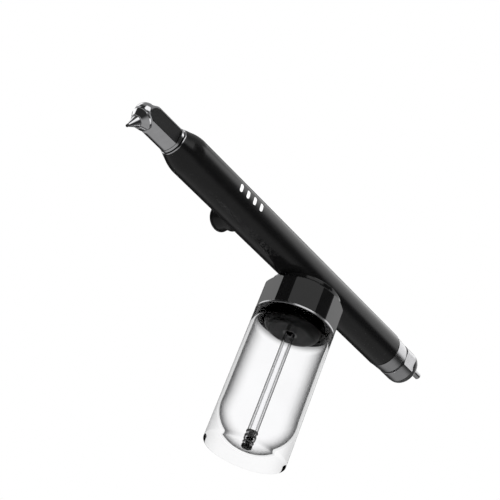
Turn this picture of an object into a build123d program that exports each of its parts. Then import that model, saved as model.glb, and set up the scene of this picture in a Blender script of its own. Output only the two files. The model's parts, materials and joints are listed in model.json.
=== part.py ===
from build123d import *
import math
import os

os.makedirs("parts", exist_ok=True)

# Compressed-air powder pen: a round barrel with an angled nozzle on a swivelling neck,
# a push button on its side and a clear screw-on powder jar. Millimetres, +Z up.
# The origin is the centre of the jar's flat base; the nozzle points towards -X.

# ---- driving dimensions -------------------------------------------------------------
AXIS_H = 82.3  # height of the barrel's axis over the jar's base

BARREL_R = 8.35
BARREL_BORE_R = 7.0
BARREL_FRONT = -90.4
BARREL_REAR = 55.9
NOSE_R = 6.2
BUSH_SEAT_R = 5.2
BUSH_SEAT_END = -74.0

NECK_R = 5.5
NECK_REAR = -91.3
NECK_STEM_R = 3.6
HEAD_X = -107.3
HEAD_R = 4.25
FLAT_Y = 4.55
FLAT_END = -92.5
INLAY_HALF_H = 3.0
INLAY_FRONT_X = -104.9
INLAY_DEPTH = 1.2

NOZZLE_X = -105.7  # where the nozzle's axis meets the barrel's axis
NOZZLE_TILT = 57.0  # degrees below straight ahead
NOZZLE_SEAT = 2.95
NOZZLE_REACH = 11.6
NIPPLE_R = 2.9
NIPPLE_END = 4.0
PASSAGE_R = 1.1
NUT_BASE_R = 4.5
NUT_FRONT = 6.3

# the button and its valve lie along Y; their heights run inwards, from the barrel's axis
BUTTON_X = -45.0
BUTTON_FACE = -15.55
BUTTON_RIM_R = 5.75
BUTTON_RIM_T = 1.4
BUTTON_R = 5.35
BUTTON_TRAVEL = 1.6
BOSS_R = 6.15
BOSS_FACE = -8.75
VALVE_R = 3.2
STEM_R = 1.4

JAR_R = 17.0
JAR_SHOULDER = 59.2
JAR_NECK_R = 14.2
JAR_TOP = 68.5
JAR_MOUTH_R = 12.3
JAR_CAVITY_R = 15.6  # straight wall, with a round bottom of the same radius
JAR_CAVITY_FLOOR = 2.2
TRIM_T = 0.95
TRIM_BORE_R = 16.4
HUB_R = 6.6
COLLAR_LOW = 60.2
COLLAR_TOP = 73.4
COLLAR_BORE_R = 14.9
FLAT_HALF_ANGLE = 20.0
FLAT_TURN = 48.0
PLUG_LOW = 54.6
DIP_R = 2.15
DIP_END = 5.0

TUBE_R = 1.25
TUBE_BORE_R = 0.8
AIR_Z = 2.6  # air line's height over the barrel's axis
SIDE_LINE = 4.7  # the feed line runs this far beside the barrel's axis, the powder line below it

COUPLING_R = 7.8
COUPLING_FLAT_Y = 7.15
COUPLING_FRONT = 63.55
COUPLING_REAR = 70.3
CORE_R = 5.0
CORE_END = 72.4
BOOT_REAR = 73.6
SPIGOT_R = 1.5
SPIGOT_STEM_R = 1.2  # the part of the spigot inside the gun
SPIGOT_END = 83.3

RUN = 0.05  # radial clearance of a running fit
SLIP = 0.03  # radial clearance of a fixed push fit
BITE = 0.6  # small chamfers and groove depths

# ---- axes and planes ----------------------------------------------------------------
BARREL = Axis((0, 0, AXIS_H), (1, 0, 0))
BUTTON = Axis((BUTTON_X, 0, AXIS_H), (0, -1, 0))
SIDE = Plane(origin=(0, 0, AXIS_H), x_dir=(1, 0, 0), z_dir=(0, -1, 0))
BUTTON_SIDE = Plane(origin=(BUTTON_X, 0, AXIS_H), x_dir=(1, 0, 0), z_dir=(0, 0, -1))
tilt = math.radians(NOZZLE_TILT)
NOZZLE_DIR = Vector(-math.cos(tilt), 0, -math.sin(tilt))
NOZZLE = Axis((NOZZLE_X, 0, AXIS_H), NOZZLE_DIR)
NOZZLE_SIDE = Plane(origin=(NOZZLE_X, 0, AXIS_H), x_dir=NOZZLE_DIR, z_dir=(0, -1, 0))


def outline(plane, *points):
    """A closed straight-sided profile on a plane."""
    with BuildSketch(plane) as section:
        with BuildLine():
            Polyline(*points, close=True)
        make_face()
    return section.sketch


def across(x, y=0.0, z=0.0):
    """The plane square to the barrel's axis at x, centred y aside and z above it."""
    return Plane(origin=(x, y, AXIS_H + z), x_dir=(0, 1, 0), z_dir=(1, 0, 0))


def bar_along_x(x0, x1, radius, y=0.0, z=0.0):
    """A round bar parallel to the barrel's axis."""
    with BuildPart() as bar:
        with BuildSketch(across(x0, y, z)):
            Circle(radius)
        extrude(amount=x1 - x0)
    return bar.part


def bar_along_z(x, z0, z1, radius):
    """An upright round bar; heights are absolute."""
    with BuildPart() as bar:
        with BuildSketch(Plane(origin=(x, 0, z0))):
            Circle(radius)
        extrude(amount=z1 - z0)
    return bar.part


def bar_in_button(start, end, radius):
    """A round bar along the button's axis."""
    with BuildPart() as bar:
        with BuildSketch(Plane(origin=(BUTTON_X, -start, AXIS_H), z_dir=(0, -1, 0))):
            Circle(radius)
        extrude(amount=end - start)
    return bar.part


def o_ring(plane, axis, along, middle_r, wire_r):
    """An O-ring whose wire circle sits at (along, middle_r) on the plane."""
    with BuildSketch(plane) as section:
        with Locations((along, middle_r)):
            Circle(wire_r)
    with BuildPart() as ring:
        revolve(section.sketch, axis=axis)
    return ring.part


def save(part, label):
    """Names a finished piece and writes it."""
    part.label = label
    export_step(part, f"parts/{label}.step")


# ---- barrel -------------------------------------------------------------------------
SHOULDER_END = -80.5
with BuildPart() as barrel_shell:
    with BuildSketch(SIDE):
        with BuildLine():
            nose = Line((BARREL_FRONT, 0), (BARREL_FRONT, NOSE_R))
            cone = Line(nose @ 1, (-86.6, 7.5))
            rise = TangentArc(cone @ 1, (SHOULDER_END, BARREL_R), tangent=cone % 1)
            top = Line(rise @ 1, (BARREL_REAR - BITE, BARREL_R))
            Polyline(top @ 1, (BARREL_REAR, BARREL_R - 0.35), (BARREL_REAR, 0), nose @ 0)
        make_face()
    revolve(axis=BARREL)
    add(bar_in_button(BOSS_FACE, BOSS_FACE + 6, BOSS_R))
    chamfer(barrel_shell.faces().sort_by(Axis.Y)[-1].edges(), length=0.15)
    curved_edges = barrel_shell.edges().filter_by(GeomType.BSPLINE)
    boss_root = curved_edges.filter_by(lambda edge: edge.center().Y > 3)
    fillet(boss_root, radius=1.3)
    add(bar_along_x(-71, BARREL_REAR + 1, BARREL_BORE_R), mode=Mode.SUBTRACT)
    add(bar_along_x(BARREL_FRONT - 1, -70, BUSH_SEAT_R), mode=Mode.SUBTRACT)
    add(bar_in_button(-12, 0, BUTTON_R + 0.1), mode=Mode.SUBTRACT)
    add(bar_along_z(0, AXIS_H - 12, AXIS_H, HUB_R + SLIP), mode=Mode.SUBTRACT)
save(barrel_shell.part, "barrel_shell")

# thin bright washer between the barrel's nose and the neck
with BuildPart() as nose_ring:
    revolve(
        outline(
            SIDE,
            (BARREL_FRONT - 0.5, NECK_STEM_R + 0.3),
            (BARREL_FRONT - 0.5, NOSE_R - 0.35),
            (BARREL_FRONT - 0.3, NOSE_R - 0.15),
            (BARREL_FRONT, NOSE_R - 0.15),
            (BARREL_FRONT, NECK_STEM_R + 0.3),
        ),
        axis=BARREL,
    )
save(nose_ring.part, "nose_ring")

with BuildPart() as swivel_bush:
    revolve(
        outline(
            SIDE,
            (BARREL_FRONT, NECK_STEM_R + RUN),
            (BARREL_FRONT, BUSH_SEAT_R - SLIP),
            (BUSH_SEAT_END, BUSH_SEAT_R - SLIP),
            (BUSH_SEAT_END, NECK_STEM_R + RUN),
        ),
        axis=BARREL,
    )
save(swivel_bush.part, "swivel_bush")

# ---- neck and head --------------------------------------------------------------------
GROOVES = (-88.0, -79.5)
CLIP_X = -73.2
with BuildPart() as neck:
    stem_line = [
        (-72.0, 0),
        (-72.0, NECK_STEM_R - 0.3),
        (-72.3, NECK_STEM_R),
        (CLIP_X + 0.45, NECK_STEM_R),
        (CLIP_X + 0.45, NECK_STEM_R - BITE),
        (CLIP_X - 0.45, NECK_STEM_R - BITE),
        (CLIP_X - 0.45, NECK_STEM_R),
    ]
    for groove in reversed(GROOVES):
        stem_line += [
            (groove + 0.6, NECK_STEM_R),
            (groove + 0.6, NECK_STEM_R - 1.0),
            (groove - 0.6, NECK_STEM_R - 1.0),
            (groove - 0.6, NECK_STEM_R),
        ]
    stem_line += [
        (NECK_REAR, NECK_STEM_R),
        (NECK_REAR, NECK_R + 0.1),
        (NECK_REAR - 0.15, NECK_R + 0.2),
        (FLAT_END + 0.1, NECK_R + 0.2),
        (FLAT_END, NECK_R),
        (-104.9, NECK_R),
        (HEAD_X, HEAD_R - 0.02),
        (HEAD_X, 0),
    ]
    revolve(outline(SIDE, *stem_line), axis=BARREL)
    with Locations((HEAD_X, 0, AXIS_H)):
        Sphere(HEAD_R)
    seat_body = ((0, 0), (0, 4.4), (NOZZLE_SEAT - 0.35, 4.5), (NOZZLE_SEAT, 4.15), (NOZZLE_SEAT, 0))
    revolve(outline(NOZZLE_SIDE, *seat_body), axis=NOZZLE)
    seat_cut = ((NOZZLE_SEAT, 0), (NOZZLE_SEAT, 12), (NOZZLE_SEAT + 9, 12), (NOZZLE_SEAT + 9, 0))
    revolve(outline(NOZZLE_SIDE, *seat_cut), axis=NOZZLE, mode=Mode.SUBTRACT)
    for side in (-1, 1):
        flat_plane = Plane(origin=(0, side * FLAT_Y, AXIS_H), x_dir=(1, 0, 0), z_dir=(0, side, 0))
        with BuildSketch(flat_plane):
            with Locations(((FLAT_END - 119) / 2, 0)):
                Rectangle(FLAT_END + 119, 14)
        extrude(amount=4, mode=Mode.SUBTRACT)
        with BuildSketch(flat_plane.offset(-INLAY_DEPTH)):
            with Locations((INLAY_FRONT_X, 0)):
                Circle(INLAY_HALF_H + SLIP)
            with Locations(((FLAT_END + INLAY_FRONT_X) / 2, 0)):
                Rectangle(FLAT_END - INLAY_FRONT_X, 2 * (INLAY_HALF_H + SLIP))
        extrude(amount=INLAY_DEPTH + 1, mode=Mode.SUBTRACT)
    nipple = ((NOZZLE_SEAT - 0.5, 0), (NOZZLE_SEAT - 0.5, NIPPLE_R), (NIPPLE_END, NIPPLE_R), (NIPPLE_END, 0))
    revolve(outline(NOZZLE_SIDE, *nipple), axis=NOZZLE)
    passage = ((0, 0), (0, PASSAGE_R), (NIPPLE_END + 0.1, PASSAGE_R), (NIPPLE_END + 0.1, 0))
    revolve(outline(NOZZLE_SIDE, *passage), axis=NOZZLE, mode=Mode.SUBTRACT)
    add(bar_along_x(NOZZLE_X, -71, PASSAGE_R), mode=Mode.SUBTRACT)
    add(bar_along_x(-77, -71, TUBE_R + 0.35), mode=Mode.SUBTRACT)
save(neck.part, "neck")

for side, name in ((-1, "inlay_left"), (1, "inlay_right")):
    with BuildPart() as inlay:
        flat_plane = Plane(origin=(0, side * FLAT_Y, AXIS_H), x_dir=(1, 0, 0), z_dir=(0, side, 0))
        with BuildSketch(flat_plane.offset(-INLAY_DEPTH)):
            with Locations((INLAY_FRONT_X, 0)):
                Circle(INLAY_HALF_H)
            with Locations(((FLAT_END + INLAY_FRONT_X) / 2, 0)):
                Rectangle(FLAT_END - INLAY_FRONT_X, 2 * INLAY_HALF_H)
        extrude(amount=INLAY_DEPTH)
        face_edges = inlay.faces().sort_by(Axis.Y)[0 if side < 0 else -1].edges()
        chamfer(face_edges, length=0.2)
    save(inlay.part, name)

with BuildPart() as neck_orings:
    for groove in GROOVES:
        add(o_ring(SIDE, BARREL, groove, NECK_STEM_R - 0.5, 0.5))
save(neck_orings.part, "neck_orings")

with BuildPart() as neck_clip:
    with BuildSketch(across(CLIP_X - 0.3)):
        Circle(NECK_STEM_R + 1.0)
        Circle(NECK_STEM_R - BITE + SLIP, mode=Mode.SUBTRACT)
        with Locations((0, -4)):
            Rectangle(2.6, 6, mode=Mode.SUBTRACT)
    extrude(amount=0.6)
save(neck_clip.part, "neck_clip")

# ---- nozzle ---------------------------------------------------------------------------
FLANGE_AT = NIPPLE_END + 0.25
FLANGE_END = FLANGE_AT + 0.5
FLANGE_R = 2.85
LINER_AT = NOZZLE_REACH - 0.9
SPRAY_R = 0.36
with BuildPart() as nozzle_seal:
    seal_line = ((NIPPLE_END, 1.3), (NIPPLE_END, FLANGE_R), (FLANGE_AT, FLANGE_R), (FLANGE_AT, 1.3))
    revolve(outline(NOZZLE_SIDE, *seal_line), axis=NOZZLE)
save(nozzle_seal.part, "nozzle_seal")

with BuildPart() as nozzle_tube:
    with BuildSketch(NOZZLE_SIDE):
        with BuildLine():
            flange = Polyline((FLANGE_AT, SPRAY_R), (FLANGE_AT, FLANGE_R), (FLANGE_END, FLANGE_R))
            hub = Polyline(flange @ 1, (FLANGE_END, 2.3), (NUT_FRONT - 0.1, 2.3))
            flare = ThreePointArc(hub @ 1, (8.2, 1.56), (LINER_AT, 0.66))
            Polyline(flare @ 1, (LINER_AT, SPRAY_R), flange @ 0)
        make_face()
    revolve(axis=NOZZLE)
save(nozzle_tube.part, "nozzle_tube")

with BuildPart() as nozzle_liner:
    revolve(
        outline(
            NOZZLE_SIDE,
            (LINER_AT, SPRAY_R),
            (LINER_AT, 0.62),
            (NOZZLE_REACH - 0.15, 0.56),
            (NOZZLE_REACH, 0.45),
            (NOZZLE_REACH, SPRAY_R),
        ),
        axis=NOZZLE,
    )
save(nozzle_liner.part, "nozzle_liner")

FLUTES = 6
NUT_SHELF = FLANGE_END + 0.05  # shelf inside the nut that holds the nozzle's flange


def flute_cutter(turn):
    """A round cutter that slants in towards the nozzle's axis, for one flute of the nut."""
    spin = NOZZLE_SIDE.rotated((360 * turn / FLUTES - 10, 0, 0))
    start = spin.origin + spin.x_dir * 4.32 + spin.y_dir * 5.08
    slant = spin.x_dir * 0.8 - spin.y_dir * 0.6
    with BuildPart() as cutter:
        with BuildSketch(Plane(origin=start, x_dir=spin.z_dir, z_dir=slant)):
            Circle(1.2)
        extrude(amount=5)
    return cutter.part


with BuildPart() as nozzle_nut:
    revolve(
        outline(
            NOZZLE_SIDE,
            (NOZZLE_SEAT + RUN, NIPPLE_R + RUN),
            (NOZZLE_SEAT + RUN, NUT_BASE_R - 0.4),
            (NOZZLE_SEAT + 0.4, NUT_BASE_R),
            (NOZZLE_SEAT + 1.0, NUT_BASE_R),
            (NUT_FRONT - 0.15, 2.85),
            (NUT_FRONT, 2.65),
            (NUT_FRONT, 2.38),
            (NUT_SHELF, 2.38),
            (NUT_SHELF, NIPPLE_R + RUN),
        ),
        axis=NOZZLE,
    )
    for turn in range(FLUTES):
        add(flute_cutter(turn), mode=Mode.SUBTRACT)
save(nozzle_nut.part, "nozzle_nut")

# ---- push button and air valve -----------------------------------------------------------
BLOCK_FRONT = BUTTON_X - 8.1
BLOCK_REAR = BUTTON_X + 10.4
MIX_HALF = 9.5
MIX_REST = 79.0  # top of the hub's neck inside the barrel
GUIDE_LOW = -6.0
GUIDE_TOP = -2.6
POPPET_AT = 0.4
POPPET_TOP = POPPET_AT + 1.7
CAP_LOW = POPPET_TOP + BUTTON_TRAVEL + 0.6
SPRING_LOW = BUTTON_FACE + 2.4
SKIRT_END = GUIDE_LOW - BUTTON_TRAVEL - 0.4

with BuildPart() as valve_block:
    add(bar_along_x(BLOCK_FRONT, BLOCK_REAR, BARREL_BORE_R - SLIP))
    add(bar_in_button(-9, GUIDE_LOW, BUTTON_R + 0.1), mode=Mode.SUBTRACT)
    add(bar_in_button(-9, 9, VALVE_R + SLIP), mode=Mode.SUBTRACT)
    add(bar_along_x(BUTTON_X + 2, BLOCK_REAR + 1, TUBE_R + SLIP, z=AIR_Z), mode=Mode.SUBTRACT)
    add(bar_along_x(BUTTON_X + 4, BLOCK_REAR + 1, TUBE_R + SLIP, y=-SIDE_LINE), mode=Mode.SUBTRACT)
    add(bar_along_x(BLOCK_FRONT - 1, BLOCK_REAR + 1, TUBE_R + SLIP, z=-SIDE_LINE), mode=Mode.SUBTRACT)
save(valve_block.part, "valve_block")

with BuildPart() as valve_guide:
    revolve(
        outline(
            BUTTON_SIDE,
            (STEM_R + RUN, GUIDE_LOW + 0.1),
            (VALVE_R, GUIDE_LOW + 0.1),
            (VALVE_R, GUIDE_TOP),
            (STEM_R + RUN, GUIDE_TOP),
        ),
        axis=BUTTON,
    )
save(valve_guide.part, "valve_guide")

with BuildPart() as valve_seat:
    seat_line = ((STEM_R + 0.3, GUIDE_TOP), (VALVE_R, GUIDE_TOP), (VALVE_R, 0.2), (STEM_R + 0.3, 0.2))
    revolve(outline(BUTTON_SIDE, *seat_line), axis=BUTTON)
    add(bar_along_x(BUTTON_X, BUTTON_X + 4, 0.7, y=1.0), mode=Mode.SUBTRACT)
save(valve_seat.part, "valve_seat")

with BuildPart() as valve_stem:
    revolve(
        outline(
            BUTTON_SIDE,
            (0, SPRING_LOW),
            (STEM_R, SPRING_LOW),
            (STEM_R, -0.6),
            (0.9, -0.6),
            (0.9, POPPET_AT + 0.9),
            (1.9, POPPET_AT + 0.9),
            (1.9, POPPET_TOP),
            (0, POPPET_TOP),
        ),
        axis=BUTTON,
    )
save(valve_stem.part, "valve_stem")

with BuildPart() as poppet_seal:
    low, high = POPPET_AT - 0.15, POPPET_AT + 0.9
    revolve(outline(BUTTON_SIDE, (0.9, low), (2.4, low), (2.4, high), (0.9, high)), axis=BUTTON)
save(poppet_seal.part, "poppet_seal")

with BuildPart() as valve_cap:
    cap_line = ((0, CAP_LOW), (VALVE_R, CAP_LOW), (VALVE_R, CAP_LOW + 1.7), (0, CAP_LOW + 1.7))
    revolve(outline(BUTTON_SIDE, *cap_line), axis=BUTTON)
save(valve_cap.part, "valve_cap")

SPRING_TURNS = 3.0
SPRING_LENGTH = SKIRT_END - SPRING_LOW - 0.5  # as it sits when the button is pressed
with BuildPart() as valve_spring:
    with BuildLine():
        coil = Helix(
            pitch=SPRING_LENGTH / SPRING_TURNS,
            height=SPRING_LENGTH,
            radius=2.5,
            center=(BUTTON_X, -SPRING_LOW - 0.25, AXIS_H),
            direction=(0, -1, 0),
        )
    with BuildSketch(Plane(origin=coil @ 0, z_dir=coil % 0)):
        Circle(0.25)
    sweep(path=coil, is_frenet=True)
save(valve_spring.part, "valve_spring")

with BuildPart() as button_cap:
    with BuildSketch(BUTTON_SIDE):
        with BuildLine():
            dish = ThreePointArc((0, BUTTON_FACE + 0.35), (2.5, BUTTON_FACE + 0.25), (4.7, BUTTON_FACE))
            edge = ThreePointArc(dish @ 1, (5.45, BUTTON_FACE + 0.2), (BUTTON_RIM_R, BUTTON_FACE + 0.7))
            Polyline(
                edge @ 1,
                (BUTTON_RIM_R, BUTTON_FACE + BUTTON_RIM_T - 0.2),
                (BUTTON_RIM_R - 0.2, BUTTON_FACE + BUTTON_RIM_T),
                (BUTTON_R, BUTTON_FACE + BUTTON_RIM_T),
                (BUTTON_R, SKIRT_END),
                (3.3, SKIRT_END),
                (3.3, SPRING_LOW),
                (0, SPRING_LOW),
                dish @ 0,
            )
        make_face()
    revolve(axis=BUTTON)
save(button_cap.part, "button_cap")

# ---- air, feed and powder lines ----------------------------------------------------------
with BuildPart() as mixing_block:
    add(bar_along_x(-MIX_HALF, MIX_HALF, BARREL_BORE_R - SLIP))
    add(bar_along_z(0, AXIS_H - 9, MIX_REST + SLIP, HUB_R + SLIP), mode=Mode.SUBTRACT)
    add(bar_along_x(-MIX_HALF - 1, MIX_HALF + 1, TUBE_R + SLIP, z=AIR_Z + 1.0), mode=Mode.SUBTRACT)
    add(bar_along_x(-MIX_HALF - 1, -MIX_HALF + 3, TUBE_R + SLIP, y=-SIDE_LINE), mode=Mode.SUBTRACT)
    add(bar_along_x(-MIX_HALF - 1, -MIX_HALF + 3, TUBE_R + SLIP, z=-SIDE_LINE), mode=Mode.SUBTRACT)
save(mixing_block.part, "mixing_block")


def tube(*points, radius=TUBE_R, bore=TUBE_BORE_R, bend=5.0):
    """A bent tube through points given from the barrel's axis."""
    with BuildPart() as pipe:
        with BuildLine():
            if len(points) > 2:
                route = FilletPolyline(*[(x, y, AXIS_H + z) for x, y, z in points], radius=bend)
            else:
                route = Polyline(*[(x, y, AXIS_H + z) for x, y, z in points])
        with BuildSketch(Plane(origin=route @ 0, z_dir=route % 0)):
            Circle(radius)
            Circle(bore, mode=Mode.SUBTRACT)
        sweep(path=route)
    return pipe.part


air_line = tube(
    (BUTTON_X + 4, 0, AIR_Z),
    (-32, 0, AIR_Z),
    (-20, 0, AIR_Z + 1),
    (26, 0, AIR_Z + 1),
    (38, 0, AIR_Z),
    (48, 0, AIR_Z),
    bend=12,
)
save(air_line, "air_line")
feed_line = tube((BUTTON_X + 5, -SIDE_LINE, 0), (-MIX_HALF + 2.5, -SIDE_LINE, 0))
save(feed_line, "feed_line")
powder_points = ((-75.5, 0, 0), (-70.4, 0, 0), (-66.2, 0, -SIDE_LINE), (-MIX_HALF + 2.5, 0, -SIDE_LINE))
powder_line = tube(*powder_points, bend=3.2)
save(powder_line, "powder_line")

# ---- jar hub, collar and dip tube ---------------------------------------------------------
DISC_R = 14.9
DISC_TOP = 75.4
HUB_LOW = 62.5
with BuildPart() as jar_hub:
    revolve(
        outline(
            Plane.XZ,
            (0, COLLAR_TOP + RUN),
            (DISC_R - 0.4, COLLAR_TOP + RUN),
            (DISC_R, COLLAR_TOP + 0.45),
            (DISC_R, DISC_TOP - 0.4),
            (DISC_R - 0.4, DISC_TOP),
            (0, DISC_TOP),
        ),
        axis=Axis.Z,
    )
    add(bar_along_x(-30, 30, BARREL_R + SLIP), mode=Mode.SUBTRACT)
    add(bar_along_z(0, HUB_LOW, MIX_REST, HUB_R))
    add(bar_along_z(0, HUB_LOW - 1, MIX_REST + 1, DIP_R + SLIP), mode=Mode.SUBTRACT)
    for y in (-SIDE_LINE, SIDE_LINE):
        with BuildSketch(Plane(origin=(0, y, HUB_LOW))):
            Circle(0.9)
        extrude(amount=MIX_REST, mode=Mode.SUBTRACT)
save(jar_hub.part, "jar_hub")

with BuildPart() as jar_collar:
    revolve(
        outline(
            Plane.XZ,
            (COLLAR_BORE_R, JAR_SHOULDER + 0.1),
            (TRIM_BORE_R - 0.1, JAR_SHOULDER + 0.1),
            (TRIM_BORE_R - 0.1, COLLAR_LOW),
            (JAR_R - 0.15, COLLAR_LOW),
            (JAR_R, COLLAR_LOW + 0.15),
            (JAR_R, COLLAR_TOP - 1.5),
            (JAR_R - 1.6, COLLAR_TOP),
            (HUB_R + SLIP, COLLAR_TOP),
            (HUB_R + SLIP, COLLAR_TOP - 3.0),
            (COLLAR_BORE_R, COLLAR_TOP - 3.0),
        ),
        axis=Axis.Z,
    )
    flat_distance = JAR_R * math.cos(math.radians(FLAT_HALF_ANGLE))
    with BuildSketch(Plane.XY.offset(COLLAR_LOW)):
        with PolarLocations(flat_distance + 2, 6, start_angle=FLAT_TURN):
            Rectangle(4, 24)
    extrude(amount=COLLAR_TOP - COLLAR_LOW, mode=Mode.SUBTRACT)
save(jar_collar.part, "jar_collar")

with BuildPart() as hub_nut:
    with BuildSketch(Plane.XY.offset(COLLAR_TOP - 5.4)):
        RegularPolygon(10.2, 6, major_radius=False)
        Circle(HUB_R + SLIP, mode=Mode.SUBTRACT)
    extrude(amount=2.4)
save(hub_nut.part, "hub_nut")

with BuildPart() as collar_plug:
    with BuildSketch(Plane.XZ):
        with BuildLine():
            under = Line((DIP_R + 0.9, PLUG_LOW), (8.6, PLUG_LOW))
            lip = ThreePointArc(under @ 1, (11.1, PLUG_LOW + 1.0), (12.05, PLUG_LOW + 3.2))
            Polyline(
                lip @ 1,
                (12.05, COLLAR_TOP - 5.5),
                (HUB_R + SLIP, COLLAR_TOP - 5.5),
                (HUB_R + SLIP, HUB_LOW),
                (DIP_R + 0.9, HUB_LOW),
                under @ 0,
            )
        make_face()
    revolve(axis=Axis.Z)
save(collar_plug.part, "collar_plug")

with BuildPart() as jar_gasket:
    revolve(
        outline(
            Plane.XZ,
            (12.2, JAR_TOP + 0.05),
            (COLLAR_BORE_R - 0.1, JAR_TOP + 0.05),
            (COLLAR_BORE_R - 0.1, COLLAR_TOP - 3.0),
            (12.2, COLLAR_TOP - 3.0),
        ),
        axis=Axis.Z,
    )
save(jar_gasket.part, "jar_gasket")

with BuildPart() as dip_gland:
    revolve(
        outline(
            Plane.XZ,
            (DIP_R + SLIP, PLUG_LOW),
            (DIP_R + 0.87, PLUG_LOW),
            (DIP_R + 0.87, HUB_LOW),
            (DIP_R + SLIP, HUB_LOW),
        ),
        axis=Axis.Z,
    )
save(dip_gland.part, "dip_gland")

RING_Z = (DIP_END + 1.75, DIP_END + 3.65)
with BuildPart() as dip_tube:
    dip_line = [(1.25, DIP_END), (DIP_R, DIP_END)]
    for height in RING_Z:
        dip_line += [
            (DIP_R, height - 0.6),
            (DIP_R - 0.5, height - 0.6),
            (DIP_R - 0.5, height + 0.6),
            (DIP_R, height + 0.6),
        ]
    dip_line += [(DIP_R, MIX_REST - 0.5), (1.25, MIX_REST - 0.5)]
    revolve(outline(Plane.XZ, *dip_line), axis=Axis.Z)
save(dip_tube.part, "dip_tube")

with BuildPart() as dip_orings:
    for height in RING_Z:
        revolve(
            outline(
                Plane.XZ,
                (DIP_R - 0.48, height - 0.5),
                (DIP_R + 0.1, height - 0.55),
                (DIP_R + 0.25, height - 0.25),
                (DIP_R + 0.25, height + 0.25),
                (DIP_R + 0.1, height + 0.55),
                (DIP_R - 0.48, height + 0.5),
            ),
            axis=Axis.Z,
        )
save(dip_orings.part, "dip_orings")

with BuildPart() as dip_tip:
    with BuildSketch(Plane.XZ):
        with BuildLine():
            peg = Polyline((0, DIP_END + 1.4), (1.22, DIP_END + 1.4), (1.22, DIP_END), (2.25, DIP_END))
            side = Line(peg @ 1, (2.25, DIP_END - 0.9))
            round_end = ThreePointArc(side @ 1, (1.9, DIP_END - 1.6), (1.1, DIP_END - 1.8))
            Polyline(round_end @ 1, (0, DIP_END - 1.8), peg @ 0)
        make_face()
    revolve(axis=Axis.Z)
save(dip_tip.part, "dip_tip")

# ---- jar -----------------------------------------------------------------------------------
with BuildPart() as trim_ring:
    revolve(
        outline(
            Plane.XZ,
            (TRIM_BORE_R, JAR_SHOULDER + 0.03),
            (JAR_R - 0.05, JAR_SHOULDER + 0.03),
            (JAR_R + 0.05, JAR_SHOULDER + 0.2),
            (JAR_R + 0.05, JAR_SHOULDER + TRIM_T - 0.15),
            (JAR_R - 0.05, JAR_SHOULDER + TRIM_T),
            (TRIM_BORE_R, JAR_SHOULDER + TRIM_T),
        ),
        axis=Axis.Z,
    )
save(trim_ring.part, "trim_ring")

RIDGES = (61.5, 63.7, 65.9)
neck_side = [(JAR_R, JAR_SHOULDER), (JAR_NECK_R, JAR_SHOULDER)]
for height in RIDGES:
    neck_side += [
        (JAR_NECK_R, height - 0.5),
        (JAR_NECK_R + 0.35, height - 0.15),
        (JAR_NECK_R + 0.35, height + 0.15),
        (JAR_NECK_R, height + 0.5),
    ]
neck_side += [(JAR_NECK_R, JAR_TOP), (JAR_MOUTH_R, JAR_TOP), (JAR_MOUTH_R, JAR_SHOULDER - 1)]
dome_z = JAR_CAVITY_FLOOR + JAR_CAVITY_R
dome_half = Vector(math.sqrt(0.5), -math.sqrt(0.5)) * JAR_CAVITY_R
with BuildPart() as jar:
    with BuildSketch(Plane.XZ):
        with BuildLine():
            base = Line((0, 0), (JAR_R - 1.0, 0))
            corner = RadiusArc(base @ 1, (JAR_R, 1.0), -1.0)
            dome = ThreePointArc((0, JAR_CAVITY_FLOOR), Vector(0, dome_z) + dome_half, (JAR_CAVITY_R, dome_z))
            wall = Line(dome @ 1, (JAR_CAVITY_R, JAR_SHOULDER - 5))
            shoulder = JernArc(wall @ 1, wall % 1, radius=3.6, arc_size=62)
            Polyline(corner @ 1, *neck_side, shoulder @ 1)
            Line(dome @ 0, base @ 0)
        make_face()
    revolve(axis=Axis.Z)
save(jar.part, "jar")

# ---- rear coupling ---------------------------------------------------------------------------
with BuildPart() as rear_collar:
    revolve(
        outline(
            SIDE,
            (49.0, CORE_R + 0.02),
            (49.0, BARREL_BORE_R - SLIP),
            (BARREL_REAR, BARREL_BORE_R - SLIP),
            (BARREL_REAR, BARREL_R - 0.15),
            (59.5, BARREL_R - 0.4),
            (62.4, 7.7),
            (62.9, 7.4),
            (62.9, 7.0),
            (COUPLING_FRONT - RUN, 7.0),
            (COUPLING_FRONT - RUN, CORE_R + 0.02),
        ),
        axis=BARREL,
    )
save(rear_collar.part, "rear_collar")

with BuildPart() as coupling_core:
    revolve(outline(SIDE, (50.0, 0), (50.0, CORE_R), (CORE_END, CORE_R), (CORE_END, 0)), axis=BARREL)
    add(bar_along_x(49, CORE_END + 1, SPIGOT_STEM_R + SLIP, z=AIR_Z), mode=Mode.SUBTRACT)
save(coupling_core.part, "coupling_core")

with BuildPart() as coupling_nut:
    revolve(
        outline(
            SIDE,
            (COUPLING_FRONT, CORE_R + RUN),
            (COUPLING_FRONT, COUPLING_R - 0.25),
            (COUPLING_FRONT + 0.25, COUPLING_R),
            (COUPLING_REAR - 0.3, COUPLING_R),
            (COUPLING_REAR, COUPLING_R - 0.3),
            (COUPLING_REAR, CORE_R + RUN),
        ),
        axis=BARREL,
    )
    with BuildSketch(across(COUPLING_FRONT - 1)):
        with Locations((-COUPLING_FLAT_Y - 2, 0), (COUPLING_FLAT_Y + 2, 0)):
            Rectangle(4, 20)
    extrude(amount=COUPLING_REAR - COUPLING_FRONT + 2, mode=Mode.SUBTRACT)
save(coupling_nut.part, "coupling_nut")

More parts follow.
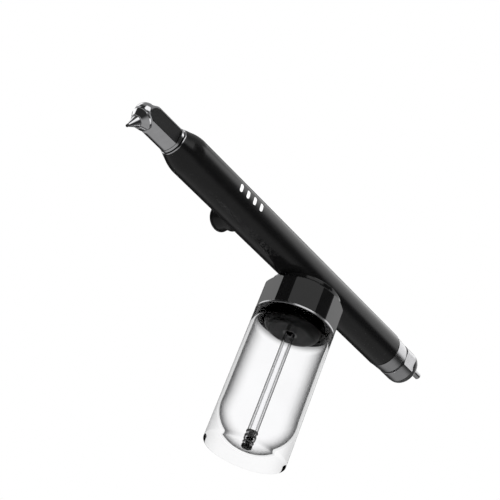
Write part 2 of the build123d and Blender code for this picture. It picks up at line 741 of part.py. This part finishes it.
with BuildPart() as rear_boot:
    with BuildSketch(SIDE):
        with BuildLine():
            front = Line((COUPLING_REAR + RUN, CORE_R + 0.02), (COUPLING_REAR + RUN, 7.6))
            dome = ThreePointArc(front @ 1, (72.5, 7.15), (BOOT_REAR, 5.6))
            Polyline(dome @ 1, (BOOT_REAR, 0), (CORE_END, 0), (CORE_END, CORE_R + 0.02), front @ 0)
        make_face()
    revolve(axis=BARREL)
    add(bar_along_x(CORE_END - 1, BOOT_REAR + 1, SPIGOT_STEM_R + SLIP, z=AIR_Z), mode=Mode.SUBTRACT)
save(rear_boot.part, "rear_boot")

with BuildPart() as air_spigot:
    add(bar_along_x(48.1, BOOT_REAR + 1, SPIGOT_STEM_R, z=AIR_Z))
    add(bar_along_x(BOOT_REAR + 0.02, SPIGOT_END, SPIGOT_R, z=AIR_Z))
    chamfer(air_spigot.edges().group_by(Axis.X)[-1], length=0.3)
    add(bar_along_x(47, SPIGOT_END + 1, 0.75, z=AIR_Z), mode=Mode.SUBTRACT)
save(air_spigot.part, "air_spigot")

with BuildPart() as rear_gasket:
    with BuildSketch(across(49.0)):
        Circle(CORE_R - 0.1)
        with Locations((0, AIR_Z)):
            Circle(SPIGOT_STEM_R + SLIP, mode=Mode.SUBTRACT)
    extrude(amount=0.9)
save(rear_gasket.part, "rear_gasket")
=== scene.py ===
import json
import math

import bmesh
import bpy
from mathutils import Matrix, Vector


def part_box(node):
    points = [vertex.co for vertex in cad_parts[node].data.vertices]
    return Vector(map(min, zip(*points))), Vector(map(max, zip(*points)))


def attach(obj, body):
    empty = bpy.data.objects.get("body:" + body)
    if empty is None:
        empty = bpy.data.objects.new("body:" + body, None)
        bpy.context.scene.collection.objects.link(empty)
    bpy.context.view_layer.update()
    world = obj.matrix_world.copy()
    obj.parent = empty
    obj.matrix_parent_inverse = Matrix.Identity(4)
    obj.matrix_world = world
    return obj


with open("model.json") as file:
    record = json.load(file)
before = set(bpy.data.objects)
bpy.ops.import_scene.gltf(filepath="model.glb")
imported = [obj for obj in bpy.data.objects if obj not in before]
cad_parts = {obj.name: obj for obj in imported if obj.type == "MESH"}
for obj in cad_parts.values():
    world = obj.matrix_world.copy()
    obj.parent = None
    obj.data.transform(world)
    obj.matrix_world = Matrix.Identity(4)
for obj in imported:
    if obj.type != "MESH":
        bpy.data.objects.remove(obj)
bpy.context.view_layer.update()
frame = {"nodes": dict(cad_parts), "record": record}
nodes = frame["nodes"]
scene = bpy.context.scene

# ---- sizes, in metres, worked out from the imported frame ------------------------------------
MM = 0.001
shell_low, shell_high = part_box("barrel_shell")
BARREL_R = -shell_low.y
AXIS_H = shell_high.z - BARREL_R

# ---- camera: at the photograph's angle, looking up from below the jar's base -----------------
camera = bpy.data.objects.new("camera", bpy.data.cameras.new("camera"))
scene.collection.objects.link(camera)
camera.location = (-0.3093, -0.3348, -0.1617)
camera.rotation_euler = [math.radians(angle) for angle in (120.287, -19.931, -50.452)]
camera.data.sensor_width = 36
camera.data.lens = 89.3
camera.data.clip_start = 0.01
scene.camera = camera
scene.view_settings.view_transform = "Standard"


# ---- small helpers for node trees ------------------------------------------------------------
def link(tree, source, target):
    tree.links.new(source, target)


def math_node(tree, operation, first, second=None):
    """A Math node; each input is a socket or a number."""
    node = tree.nodes.new("ShaderNodeMath")
    node.operation = operation
    for socket, value in zip(node.inputs, (first, second)):
        if value is None:
            continue
        if isinstance(value, (int, float)):
            socket.default_value = value
        else:
            link(tree, value, socket)
    return node.outputs[0]


def ramp(tree, value, low, high, out_low=0.0, out_high=1.0):
    """A smooth step from out_low at low to out_high at high."""
    node = tree.nodes.new("ShaderNodeMapRange")
    node.interpolation_type = "SMOOTHSTEP"
    link(tree, value, node.inputs["Value"])
    for name, number in (("From Min", low), ("From Max", high), ("To Min", out_low), ("To Max", out_high)):
        node.inputs[name].default_value = number
    return node.outputs["Result"]


def choose(tree, switch, otherwise, chosen):
    """The chosen value where the switch is on, else the other; chosen is a socket or a number."""
    node = tree.nodes.new("ShaderNodeMix")
    node.data_type = "FLOAT"
    link(tree, switch, node.inputs["Factor"])
    link(tree, otherwise, node.inputs["A"])
    if isinstance(chosen, (int, float)):
        node.inputs["B"].default_value = chosen
    else:
        link(tree, chosen, node.inputs["B"])
    return node.outputs["Result"]


# ---- studio: white backdrop, soft light from above with dark gaps between the softboxes --------
SKY = 1.75  # brightness of the softboxes as the gloss sees them
GAP = 0.04  # what the gloss sees between them and round the horizon
BELOW = 0.5  # what the gloss sees straight down
OVERHEAD = 0.17  # the grey straight up, as a share of SKY
PANELS = ((349, 40), (109, 22), (240, 28))  # low softboxes: compass angle and half-width, degrees
PANEL_SOFT = 5  # half the width of their soft sides, degrees
PANEL_FOOT = (0.05, 0.34)  # they fade in over these heights, 0 at the horizon and 1 straight up
PANEL_HEAD = (0.8, 0.9)  # and drop to the overhead grey over these
OVERHEAD_START = (0.62, 0.86)  # the overhead grey fades in over these, between the softboxes
BELOW_FADE = (-0.6, -0.2)  # the light from below fades to the gap over these
STRIPES = 8  # soft stripes round the backdrop, seen only through the clear plastic
STRIPE_TURN = 5.8  # compass angle of the first bright stripe, degrees
STRIPE_MEAN = 0.93  # mean brightness of the stripes, which peak at 1


def build_world():
    """White to the eye; striped white through clear plastic; softboxes and dark gaps to gloss."""
    world = bpy.data.worlds.new("studio")
    scene.world = world
    world.use_nodes = True
    tree = world.node_tree
    tree.nodes.clear()
    direction = tree.nodes.new("ShaderNodeTexCoord").outputs["Generated"]
    split = tree.nodes.new("ShaderNodeSeparateXYZ")
    link(tree, direction, split.inputs[0])
    up = split.outputs["Z"]
    angle_round = math_node(tree, "ARCTAN2", split.outputs["Y"], split.outputs["X"])
    light = ramp(tree, up, *OVERHEAD_START, 0.0, OVERHEAD)
    for angle, half_width in PANELS:
        turned = math_node(tree, "SUBTRACT", angle_round, math.radians(angle))
        facing = math_node(tree, "COSINE", turned)
        edge, core = (math.cos(math.radians(half_width + soft)) for soft in (PANEL_SOFT, -PANEL_SOFT))
        panel = math_node(tree, "MULTIPLY", ramp(tree, facing, edge, core), ramp(tree, up, *PANEL_FOOT))
        panel = math_node(tree, "MULTIPLY", panel, ramp(tree, up, *PANEL_HEAD, 1.0, OVERHEAD))
        light = math_node(tree, "MAXIMUM", light, panel)
    lit = math_node(tree, "MULTIPLY", light, SKY)
    gloss = math_node(tree, "ADD", lit, ramp(tree, up, *BELOW_FADE, BELOW, GAP))
    striped = math_node(tree, "MULTIPLY_ADD", angle_round, STRIPES)
    striped.node.inputs[2].default_value = -math.radians(STRIPES * STRIPE_TURN)
    stripes = math_node(tree, "COSINE", striped)
    through = math_node(tree, "MULTIPLY_ADD", stripes, 1 - STRIPE_MEAN)
    through.node.inputs[2].default_value = STRIPE_MEAN
    ray = tree.nodes.new("ShaderNodeLightPath")
    strength = choose(tree, ray.outputs["Is Transmission Ray"], gloss, through)
    for kind in ("Is Diffuse Ray", "Is Camera Ray"):
        strength = choose(tree, ray.outputs[kind], strength, 1.0)
    background = tree.nodes.new("ShaderNodeBackground")
    background.inputs["Color"].default_value = (1, 1, 1, 1)
    link(tree, strength, background.inputs["Strength"])
    output = tree.nodes.new("ShaderNodeOutputWorld")
    link(tree, background.outputs[0], output.inputs["Surface"])


build_world()

FLOOR_R = 3.0
FLOOR_SWEEP = (0.25, 1.2)  # the floor turns to backdrop white between these distances from the jar


def build_floor():
    """A pale one-sided floor under the jar: solid from above and clear from below."""
    mesh = bpy.data.meshes.new("floor")
    form = bmesh.new()
    bmesh.ops.create_circle(form, cap_ends=True, segments=96, radius=FLOOR_R)
    form.to_mesh(mesh)
    form.free()
    floor = bpy.data.objects.new("floor", mesh)
    scene.collection.objects.link(floor)
    material = bpy.data.materials.new("floor")
    material.use_nodes = True
    tree = material.node_tree
    tree.nodes.clear()
    matt = tree.nodes.new("ShaderNodeBsdfDiffuse")
    matt.inputs["Color"].default_value = (0.86, 0.86, 0.87, 1)
    backdrop = tree.nodes.new("ShaderNodeEmission")
    backdrop.inputs["Color"].default_value = (1, 1, 1, 1)
    coords = tree.nodes.new("ShaderNodeTexCoord")
    far = tree.nodes.new("ShaderNodeVectorMath")
    far.operation = "LENGTH"
    link(tree, coords.outputs["Object"], far.inputs[0])
    sweep = tree.nodes.new("ShaderNodeMixShader")
    link(tree, ramp(tree, far.outputs["Value"], *FLOOR_SWEEP), sweep.inputs["Fac"])
    link(tree, matt.outputs[0], sweep.inputs[1])
    link(tree, backdrop.outputs[0], sweep.inputs[2])
    see_through = tree.nodes.new("ShaderNodeBsdfTransparent")
    side = tree.nodes.new("ShaderNodeNewGeometry")
    one_sided = tree.nodes.new("ShaderNodeMixShader")
    link(tree, side.outputs["Backfacing"], one_sided.inputs["Fac"])
    link(tree, sweep.outputs[0], one_sided.inputs[1])
    link(tree, see_through.outputs[0], one_sided.inputs[2])
    output = tree.nodes.new("ShaderNodeOutputMaterial")
    link(tree, one_sided.outputs[0], output.inputs["Surface"])
    mesh.materials.append(material)
    floor.visible_glossy = False
    floor.visible_transmission = False


build_floor()


def softbox(name, place, size, power):
    """A square area light that faces the jar and isn't seen in reflections."""
    lamp = bpy.data.objects.new(name, bpy.data.lights.new(name, "AREA"))
    scene.collection.objects.link(lamp)
    lamp.data.size = size
    lamp.data.energy = power
    lamp.location = place
    lamp.rotation_euler = Vector(place).to_track_quat("Z", "Y").to_euler()
    lamp.visible_glossy = False
    lamp.visible_camera = False
    lamp.visible_transmission = False


softbox("key_softbox", (0.25, -0.35, 0.55), 0.5, 2.0)
softbox("fill_softbox", (-0.35, 0.3, 0.45), 0.6, 1.2)


# ---- materials ---------------------------------------------------------------------------------
def surface(name):
    """A Principled material with its tree, its shader and object coordinates in millimetres."""
    material = bpy.data.materials.new(name)
    material.use_nodes = True
    tree = material.node_tree
    shader = tree.nodes["Principled BSDF"]
    coords = tree.nodes.new("ShaderNodeTexCoord")
    in_mm = tree.nodes.new("ShaderNodeMapping")
    in_mm.inputs["Scale"].default_value = (1 / MM, 1 / MM, 1 / MM)
    link(tree, coords.outputs["Object"], in_mm.inputs["Vector"])
    return material, tree, shader, in_mm.outputs["Vector"]


def noise(tree, where, per_mm, detail, stretch=(1, 1, 1)):
    """Noise of the given fineness; stretch scales it along each axis."""
    scaled = tree.nodes.new("ShaderNodeVectorMath")
    scaled.operation = "MULTIPLY"
    link(tree, where, scaled.inputs[0])
    scaled.inputs[1].default_value = stretch
    texture = tree.nodes.new("ShaderNodeTexNoise")
    texture.inputs["Scale"].default_value = per_mm
    texture.inputs["Detail"].default_value = detail
    link(tree, scaled.outputs[0], texture.inputs["Vector"])
    return texture.outputs["Fac"]


def tint(tree, shader, value, dark, light):
    """Base colour between two tones, led by a value."""
    mix = tree.nodes.new("ShaderNodeMix")
    mix.data_type = "RGBA"
    link(tree, value, mix.inputs["Factor"])
    mix.inputs["A"].default_value = (*dark, 1)
    mix.inputs["B"].default_value = (*light, 1)
    link(tree, mix.outputs["Result"], shader.inputs["Base Color"])


def relief(tree, shader, height, depth_mm, strength=1.0):
    """Bump from a height value; depth is in millimetres."""
    bump = tree.nodes.new("ShaderNodeBump")
    bump.inputs["Strength"].default_value = strength
    bump.inputs["Distance"].default_value = depth_mm * MM
    link(tree, height, bump.inputs["Height"])
    link(tree, bump.outputs["Normal"], shader.inputs["Normal"])


def plastic(name, dark, light, roughness, grain, depth_mm, shine):
    """Paint, plastic or rubber: fine grain with slightly uneven gloss."""
    material, tree, shader, where = surface(name)
    tint(tree, shader, noise(tree, where, 0.25, 4), dark, light)
    link(tree, ramp(tree, noise(tree, where, 0.6, 5), 0.3, 0.7, *roughness), shader.inputs["Roughness"])
    relief(tree, shader, noise(tree, where, grain, 2), depth_mm)
    shader.inputs["Specular IOR Level"].default_value = shine
    return material


def metal(name, dark, light, roughness, stretch, depth_mm):
    """Turned or polished metal: its tool marks are noise stretched along the work."""
    material, tree, shader, where = surface(name)
    shader.inputs["Metallic"].default_value = 1.0
    marks = noise(tree, where, TOOL_MARKS, 3, stretch)
    tint(tree, shader, noise(tree, where, 0.4, 4), dark, light)
    link(tree, ramp(tree, marks, 0.3, 0.7, *roughness), shader.inputs["Roughness"])
    relief(tree, shader, marks, depth_mm)
    return material


jar_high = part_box("jar")[1]
JAR_R = jar_high.x / MM
JAR_TOP = jar_high.z / MM
JAR_WALL = (JAR_R - 1.3, JAR_R - 0.9)  # between these radii the cavity's painted edge shade gives way to the skin's
OUTER_EDGE_SHADE = 0.35  # share of the painted edge shade on the jar's outer skin
FOOT_CLEAR = (0.8, 2.0)  # the painted edge shade fades in over these heights above the base
NECK_SHADE = (JAR_TOP - 13, JAR_TOP - 9.5)  # painted shade: the jar darkens up into the collar here
# how dark the painted shade under the collar gets
NECK_SHADE_LEVEL = 0.8


def clear(name, ior, turn, tone):
    """Clear plastic: white from the front; painted edge shade greys a wall to the tone as it turns away
    from the eye, and painted shade darkens the jar up into the collar.
    """
    material, tree, shader, where = surface(name)
    # Painted edge shade: Layer Weight greys the base colour as a wall turns from the eye.
    edge_on = tree.nodes.new("ShaderNodeLayerWeight")
    edge_on.inputs["Blend"].default_value = 0.5
    painted_shade = ramp(tree, edge_on.outputs["Facing"], *turn)
    split = tree.nodes.new("ShaderNodeSeparateXYZ")
    link(tree, where, split.inputs[0])
    across = math_node(tree, "POWER", split.outputs["X"], 2.0)
    aside = math_node(tree, "POWER", split.outputs["Y"], 2.0)
    from_axis = math_node(tree, "SQRT", math_node(tree, "ADD", across, aside))
    height = split.outputs["Z"]
    # The painted edge shade is full in the cavity's walls, weaker on the outer skin and fades out at the
    # foot.
    edge_shade_mask = ramp(tree, from_axis, *JAR_WALL, 1.0, OUTER_EDGE_SHADE)
    edge_shade_mask = math_node(tree, "MULTIPLY", edge_shade_mask, ramp(tree, height, *FOOT_CLEAR))
    painted_shade = math_node(tree, "MULTIPLY", painted_shade, edge_shade_mask)
    # Painted shade: the jar's colour darkens up into the black collar.
    painted_shade = math_node(tree, "MAXIMUM", painted_shade, ramp(tree, height, *NECK_SHADE, 0.0, NECK_SHADE_LEVEL))
    flow = ramp(tree, noise(tree, where, 0.08, 2), 0.3, 0.7, 0.0, 0.015)
    tint(tree, shader, math_node(tree, "ADD", painted_shade, flow), (0.99, 0.99, 0.995), tone)
    shader.inputs["Transmission Weight"].default_value = 1.0
    shader.inputs["IOR"].default_value = ior
    link(tree, ramp(tree, noise(tree, where, 0.5, 3), 0.4, 0.8, 0.0, 0.02), shader.inputs["Roughness"])
    relief(tree, shader, noise(tree, where, 0.12, 1), 0.02, 0.15)
    return material


def grey_tone(level):
    """A neutral colour, a touch cool."""
    return (level, level, level * 1.02)


AROUND_X = (1, 0.02, 0.02)  # tool marks as rings round the barrel's axis
ALONG_X = (0.03, 1, 1)  # tool marks as lines along it
TOOL_MARKS = 6.0  # how many per millimetre
PLASTICS = {  # dark and light tone, roughness range, grain per mm, grain depth in mm, shine
    "black_satin": (grey_tone(0.003), grey_tone(0.005), (0.16, 0.2), 6, 0.0012, 0.28),
    "black_gloss": (grey_tone(0.003), grey_tone(0.006), (0.03, 0.06), 3, 0.0008, 0.2),
    "plug_black": (grey_tone(0.002), grey_tone(0.004), (0.35, 0.45), 5, 0.01, 0.06),
    "rear_black": (grey_tone(0.02), grey_tone(0.035), (0.22, 0.32), 6, 0.006, 0.4),
    "dark_inlay": (grey_tone(0.008), grey_tone(0.013), (0.38, 0.5), 7, 0.01, 0.15),
    "seal_rubber": (grey_tone(0.008), grey_tone(0.016), (0.4, 0.55), 6, 0.01, 0.5),
    "seat_plastic": ((0.72, 0.71, 0.67), (0.8, 0.79, 0.75), (0.3, 0.4), 4, 0.005, 0.5),
    "carbide": (grey_tone(0.01), grey_tone(0.02), (0.3, 0.45), 8, 0.01, 0.5),
}
METALS = {  # dark and light tone, roughness range, stretch of the tool marks, their depth in mm
    "chrome": (grey_tone(0.45), grey_tone(0.55), (0.06, 0.12), ALONG_X, 0.0008),
    "satin_silver": (grey_tone(0.32), grey_tone(0.4), (0.2, 0.3), AROUND_X, 0.002),
    "spring_steel": (grey_tone(0.48), grey_tone(0.6), (0.2, 0.3), ALONG_X, 0.002),
    "brass": ((0.6, 0.45, 0.2), (0.72, 0.56, 0.28), (0.2, 0.3), AROUND_X, 0.002),
    "bronze": ((0.4, 0.26, 0.14), (0.5, 0.34, 0.2), (0.3, 0.42), AROUND_X, 0.004),
}
CLEARS = {  # IOR, how far a wall turns from the eye before its painted edge shade starts and where it is full, tone of the full painted shade
    "clear_plastic": (1.06, (0.2, 0.8), grey_tone(0.04)),
    "clear_tube": (1.2, (0.1, 0.6), grey_tone(0.03)),
}
finishes = {name: plastic(name, *values) for name, values in PLASTICS.items()}
finishes.update({name: metal(name, *values) for name, values in METALS.items()})
finishes.update({name: clear(name, *values) for name, values in CLEARS.items()})
for part in frame["record"]["subparts"]:
    mesh = nodes[part["node"]].data
    mesh.materials.clear()
    mesh.materials.append(finishes[part["material_slot"]])

# ---- printed mark: plain bars on the barrel's side, with no lettering ----------------------------
MARK_X = -52.3 * MM
MARK_ANGLE = math.radians(9)  # above the barrel's -Y side
MARK_LENGTH = 17 * MM
MARK_HEIGHT = 3.6 * MM
MARK_PROUD = 0.03 * MM
BARS = 4
BAR_WIDTH = 1.6 * MM
BAR_ROWS = 25
BAR_COLUMNS = 7
TIP_HALF = 0.02 * MM  # keeps the round ends from closing to a point


def barrel_point(x, along, proud):
    """The place on the barrel's skin at x, a given arc length above the mark's middle line."""
    angle = MARK_ANGLE + along / BARREL_R
    radius = BARREL_R + proud
    return Vector((x, -radius * math.cos(angle), AXIS_H + radius * math.sin(angle)))


def printed_bar(name, centre_x):
    """A thin round-ended bar of ink wrapped on the barrel."""
    form = bmesh.new()
    grid = []
    for i in range(BAR_ROWS):
        along = MARK_HEIGHT * (i / (BAR_ROWS - 1) - 0.5)
        past_end = max(0.0, abs(along) - (MARK_HEIGHT - BAR_WIDTH) / 2)
        half = math.sqrt(max(0.0, (BAR_WIDTH / 2) ** 2 - past_end**2)) + TIP_HALF
        line = []
        for j in range(BAR_COLUMNS):
            x = centre_x + half * (2 * j / (BAR_COLUMNS - 1) - 1)
            line.append(form.verts.new(barrel_point(x, along, MARK_PROUD)))
        grid.append(line)
    for lower, upper in zip(grid, grid[1:]):
        for j in range(BAR_COLUMNS - 1):
            form.faces.new((lower[j], lower[j + 1], upper[j + 1], upper[j]))
    made = bmesh.ops.extrude_face_region(form, geom=form.faces[:])["geom"]
    for vertex in (v for v in made if isinstance(v, bmesh.types.BMVert)):
        outward = Vector((0, vertex.co.y, vertex.co.z - AXIS_H)).normalized()
        vertex.co -= outward * 2 * MARK_PROUD
    bmesh.ops.recalc_face_normals(form, faces=form.faces)
    mesh = bpy.data.meshes.new(name)
    form.to_mesh(mesh)
    form.free()
    bar = bpy.data.objects.new(name, mesh)
    scene.collection.objects.link(bar)
    mesh.materials.append(ink)
    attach(bar, "handpiece")


ink = plastic("white_ink", (0.78, 0.78, 0.78), (0.9, 0.9, 0.9), (0.35, 0.5), 8, 0.004, 0.5)
step = MARK_LENGTH / BARS
for number in range(BARS):
    printed_bar(f"mark_bar_{number + 1}", MARK_X + (number - (BARS - 1) / 2) * step)
